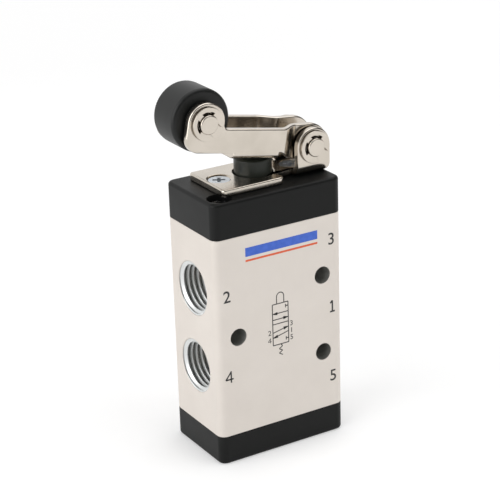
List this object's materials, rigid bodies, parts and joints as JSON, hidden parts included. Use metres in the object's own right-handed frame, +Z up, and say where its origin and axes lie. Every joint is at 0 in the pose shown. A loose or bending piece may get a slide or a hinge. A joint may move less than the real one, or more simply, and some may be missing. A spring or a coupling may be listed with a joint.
{
  "type": "roller lever air valve",
  "caption": "Pneumatic spool valve with an anodised block body, black end caps and a sheet metal roller lever that presses a spring returned plunger.",
  "frame": {"origin": "centre of the underside of the bottom cap", "axes": "+Z up along the spool, -Y out of the wide face with the symbol, -X out of the two outlet ports"},
  "size_m": [0.0411, 0.022, 0.0916],
  "materials": {
    "anodised_aluminium": "sandblasted",
    "black_plastic": "fine grain",
    "roller_plastic": "smooth",
    "black_rubber": "moulded",
    "nickel_sheet": "satin nickel plate",
    "zinc_steel": "zinc plate",
    "spring_steel": "drawn wire",
    "bright_aluminium": "turned"
  },
  "bodies": {
    "housing": {"valve_body": "anodised_aluminium", "top_cap": "black_plastic", "bottom_cap": "black_plastic", "top_cap_seal": "black_rubber", "bottom_cap_seal": "black_rubber", "plunger_seal": "black_rubber", "top_cap_screws": "zinc_steel", "bottom_cap_screws": "zinc_steel", "lever_bracket": "nickel_sheet", "bracket_screws": "zinc_steel", "pivot_pin": "nickel_sheet", "pivot_e_ring": "nickel_sheet", "return_spring": "spring_steel"},
    "lever": {"lever_arm": "nickel_sheet", "roller_pin": "nickel_sheet", "roller_e_ring": "nickel_sheet"},
    "roller": {"roller": "roller_plastic"},
    "spool": {"plunger": "black_plastic", "spool": "bright_aluminium", "spool_seal_1": "black_rubber", "spool_seal_2": "black_rubber", "spool_seal_3": "black_rubber", "spool_seal_4": "black_rubber", "spool_seal_5": "black_rubber", "spool_seal_6": "black_rubber"}
  },
  "joints": [
    {"name": "lever_press", "type": "hinge", "parent": "housing", "child": "lever", "pos_m": [0.0129, 0, 0.0731], "axis": [0, -1, 0], "range_deg": [0, 15], "stiffness_Nm_per_rad": 0.2, "springref_deg": -17.19},
    {"name": "spool_slide", "type": "slide", "parent": "housing", "child": "spool", "axis": [0, 0, -1], "range_m": [0, 0.00318], "stiffness_N_per_m": 60, "springref_m": -0.0033, "deforming": ["return_spring"]},
    {"name": "roller_spin", "type": "hinge", "parent": "lever", "child": "roller", "pos_m": [-0.01582, 0, 0.08423], "axis": [0, 1, 0], "continuous": true}
  ],
  "couplings": [
    {"joint": "lever_press", "follows": "spool_slide", "rad_per_m": 82.3}
  ]
}
